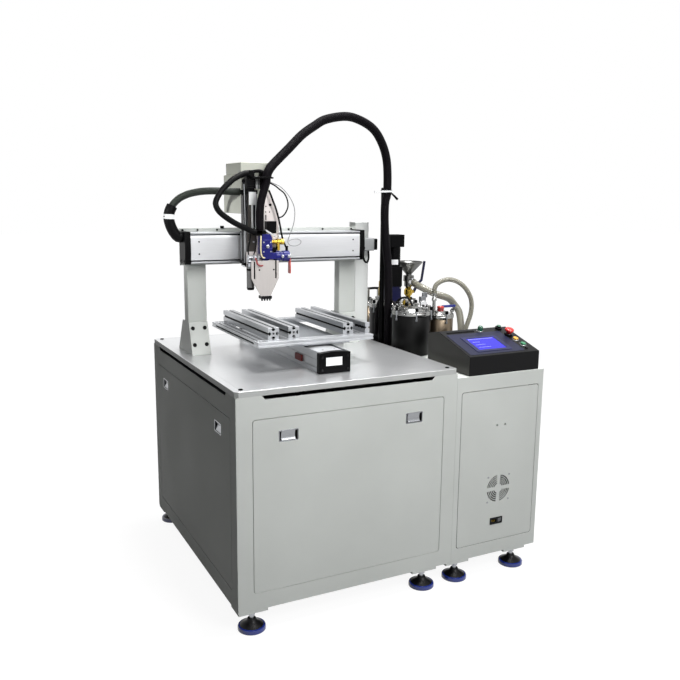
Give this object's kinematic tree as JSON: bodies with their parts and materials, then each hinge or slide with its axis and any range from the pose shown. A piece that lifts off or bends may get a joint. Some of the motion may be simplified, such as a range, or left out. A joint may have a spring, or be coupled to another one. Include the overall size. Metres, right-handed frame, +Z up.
{
  "type": "glue dispensing machine",
  "caption": "Gantry robot on a cabinet that meters two-part glue through a valve head over a slotted table, with pressure pots and a console.",
  "frame": {"origin": "on the floor, under the middle of the two cabinets' footprint", "axes": "+X to the right as seen from the front, +Y from the front to the back, +Z up; the front faces -Y"},
  "size_m": [1.372, 1.1558, 1.854],
  "materials": {
    "painted_cabinet": "powder coated, fine texture",
    "inner_frame": "painted dark",
    "ground_plate": "ground, satin",
    "latch_chrome": "bright",
    "foot_plastic": "gloss over a rubber sole",
    "anodised": "anodised, satin",
    "black_paint": "satin black",
    "motor_shell": "cast, satin",
    "screw_steel": "ground",
    "dark_anodised": "anodised, matt",
    "box_paint": "powder coated",
    "plate_satin": "anodised, satin",
    "guard_satin": "anodised, matt",
    "pneumatic": "satin black",
    "valve_blue": "anodised blue",
    "brass_fitting": "machined",
    "lever_red": "dipped vinyl",
    "lever_blue": "dipped vinyl",
    "nozzle_black": "moulded",
    "pot_black": "satin black",
    "pot_steel": "brushed",
    "lid_steel": "brushed",
    "console_paint": "satin black",
    "button_red": "moulded",
    "button_yellow": "moulded",
    "button_green": "moulded",
    "fan_plastic": "moulded",
    "rocker_plastic": "moulded",
    "hose_weave": "woven sleeve",
    "hose_rubber": "smooth",
    "conduit_plastic": "smooth",
    "hose_clear": "clear with filler"
  },
  "bodies": {
    "machine": {"cabinet_frame": "inner_frame", "main_cabinet": "painted_cabinet", "side_cabinet": "painted_cabinet", "side_panel": "painted_cabinet", "levelling_feet": "foot_plastic", "base_plate": "ground_plate", "gantry": "painted_cabinet", "beam_body": "anodised", "module_ends": "black_paint", "drive_motors": "motor_shell", "y_module": "anodised", "black_pots": "pot_black", "steel_pots": "pot_steel", "pot_lids": "lid_steel", "agitator_drive": "black_paint", "funnel": "lid_steel", "fill_valve": "brass_fitting", "mast": "black_paint", "console_case": "console_paint", "fan": "fan_plastic", "power_inlet": "fan_plastic", "control_gear": "motor_shell", "main_hose": "hose_weave", "conduit": "conduit_plastic", "clear_hose_a": "hose_clear", "clear_hose_b": "hose_clear"},
    "x_axis": {"x_carriage": "dark_anodised", "z_module": "anodised", "z_box": "box_paint", "head_hose": "hose_weave", "loop_hose": "hose_rubber"},
    "z_axis": {"z_carriage": "dark_anodised", "head_plate": "plate_satin", "pneumatics": "pneumatic", "valve_body": "valve_blue", "valve_fittings": "brass_fitting", "guard_plate": "guard_satin", "nozzle": "nozzle_black"},
    "y_axis": {"y_carriage": "dark_anodised", "table_frame": "anodised", "table_bars": "anodised"},
    "x_screw": {"x_screw": "screw_steel"},
    "y_screw": {"y_screw": "screw_steel"},
    "z_screw": {"z_screw": "screw_steel"},
    "front_panel": {"front_panel": "painted_cabinet"},
    "left_panel": {"left_panel": "painted_cabinet"},
    "front_latch_l": {"front_latch_l": "latch_chrome"},
    "front_latch_r": {"front_latch_r": "latch_chrome"},
    "left_latch_f": {"left_latch_f": "latch_chrome"},
    "left_latch_b": {"left_latch_b": "latch_chrome"},
    "fan_rotor": {"fan_rotor": "fan_plastic"},
    "agitator": {"agitator_shaft": "screw_steel"},
    "stop_button": {"stop_button": "button_red"},
    "yellow_button": {"yellow_button": "button_yellow"},
    "green_button": {"green_button": "button_green"},
    "dome_button": {"dome_button": "button_green"},
    "inlet_rocker": {"inlet_rocker": "rocker_plastic"},
    "valve_lever": {"valve_lever": "lever_red"},
    "funnel_lever": {"funnel_lever": "lever_blue"},
    "pot_lever": {"pot_lever": "lever_blue"}
  },
  "joints": [
    {"name": "x_slide", "type": "slide", "parent": "machine", "child": "x_axis", "axis": [1, 0, 0], "range_m": [-0.13, 0.37], "deforming": ["main_hose", "conduit"]},
    {"name": "z_slide", "type": "slide", "parent": "x_axis", "child": "z_axis", "axis": [0, 0, 1], "range_m": [-0.07, 0.05], "deforming": ["head_hose", "loop_hose"]},
    {"name": "y_slide", "type": "slide", "parent": "machine", "child": "y_axis", "axis": [0, 1, 0], "range_m": [-0.12, 0.28]},
    {"name": "x_screw_turn", "type": "hinge", "parent": "machine", "child": "x_screw", "pos_m": [-0.26, 0.10845, 1.306], "axis": [1, 0, 0], "continuous": true},
    {"name": "y_screw_turn", "type": "hinge", "parent": "machine", "child": "y_screw", "pos_m": [-0.227, -0.048, 0.90555], "axis": [0, 1, 0], "continuous": true},
    {"name": "z_screw_turn", "type": "hinge", "parent": "x_axis", "child": "z_screw", "pos_m": [-0.398, 0.005, 1.406], "axis": [0, 0, 1], "continuous": true},
    {"name": "front_panel_lift", "type": "slide", "parent": "machine", "child": "front_panel", "axis": [0, -1, 0], "range_m": [0, 0.3]},
    {"name": "left_panel_lift", "type": "slide", "parent": "machine", "child": "left_panel", "axis": [-1, 0, 0], "range_m": [0, 0.3]},
    {"name": "front_latch_l_hinge", "type": "hinge", "parent": "front_panel", "child": "front_latch_l", "pos_m": [-0.468, -0.544, 0.717], "axis": [-1, 0, 0], "range_deg": [0, 40], "stiffness_Nm_per_rad": 0.4},
    {"name": "front_latch_r_hinge", "type": "hinge", "parent": "front_panel", "child": "front_latch_r", "pos_m": [0.042, -0.544, 0.717], "axis": [-1, 0, 0], "range_deg": [0, 40], "stiffness_Nm_per_rad": 0.4},
    {"name": "left_latch_f_hinge", "type": "hinge", "parent": "left_panel", "child": "left_latch_f", "pos_m": [-0.656, -0.356, 0.717], "axis": [0, 1, 0], "range_deg": [0, 40], "stiffness_Nm_per_rad": 0.4},
    {"name": "left_latch_b_hinge", "type": "hinge", "parent": "left_panel", "child": "left_latch_b", "pos_m": [-0.656, 0.356, 0.717], "axis": [0, 1, 0], "range_deg": [0, 40], "stiffness_Nm_per_rad": 0.4},
    {"name": "fan_turn", "type": "hinge", "parent": "machine", "child": "fan_rotor", "pos_m": [0.455, -0.534, 0.354], "axis": [0, -1, 0], "continuous": true},
    {"name": "agitator_turn", "type": "hinge", "parent": "machine", "child": "agitator", "pos_m": [0.367, 0.167, 0.976], "axis": [0, 0, 1], "continuous": true},
    {"name": "stop_press", "type": "slide", "parent": "machine", "child": "stop_button", "axis": [0, 0.287, -0.9579], "range_m": [0, 0.004], "stiffness_N_per_m": 600},
    {"name": "yellow_press", "type": "slide", "parent": "machine", "child": "yellow_button", "axis": [0, 0.287, -0.9579], "range_m": [0, 0.004], "stiffness_N_per_m": 600},
    {"name": "green_press", "type": "slide", "parent": "machine", "child": "green_button", "axis": [0, 0.287, -0.9579], "range_m": [0, 0.004], "stiffness_N_per_m": 600},
    {"name": "dome_press", "type": "slide", "parent": "machine", "child": "dome_button", "axis": [0, 0.287, -0.9579], "range_m": [0, 0.004], "stiffness_N_per_m": 600},
    {"name": "rocker_tip", "type": "hinge", "parent": "machine", "child": "inlet_rocker", "pos_m": [0.468, -0.545, 0.216], "axis": [-1, 0, 0], "range_deg": [0, 12]},
    {"name": "valve_lever_turn", "type": "hinge", "parent": "z_axis", "child": "valve_lever", "pos_m": [-0.2547, -0.055, 1.276], "axis": [1, 0, 0], "range_deg": [-90, 0]},
    {"name": "funnel_lever_turn", "type": "hinge", "parent": "machine", "child": "funnel_lever", "pos_m": [0.4893, 0.183, 1.074], "axis": [1, 0, 0], "range_deg": [-90, 0]},
    {"name": "pot_lever_turn", "type": "hinge", "parent": "machine", "child": "pot_lever", "pos_m": [0.502, -0.028, 1.0223], "axis": [0, 0, 1], "range_deg": [0, 90]}
  ],
  "couplings": [
    {"joint": "x_screw_turn", "follows": "x_slide", "rad_per_m": 314.16},
    {"joint": "y_screw_turn", "follows": "y_slide", "rad_per_m": 314.16},
    {"joint": "z_screw_turn", "follows": "z_slide", "rad_per_m": 314.16}
  ]
}
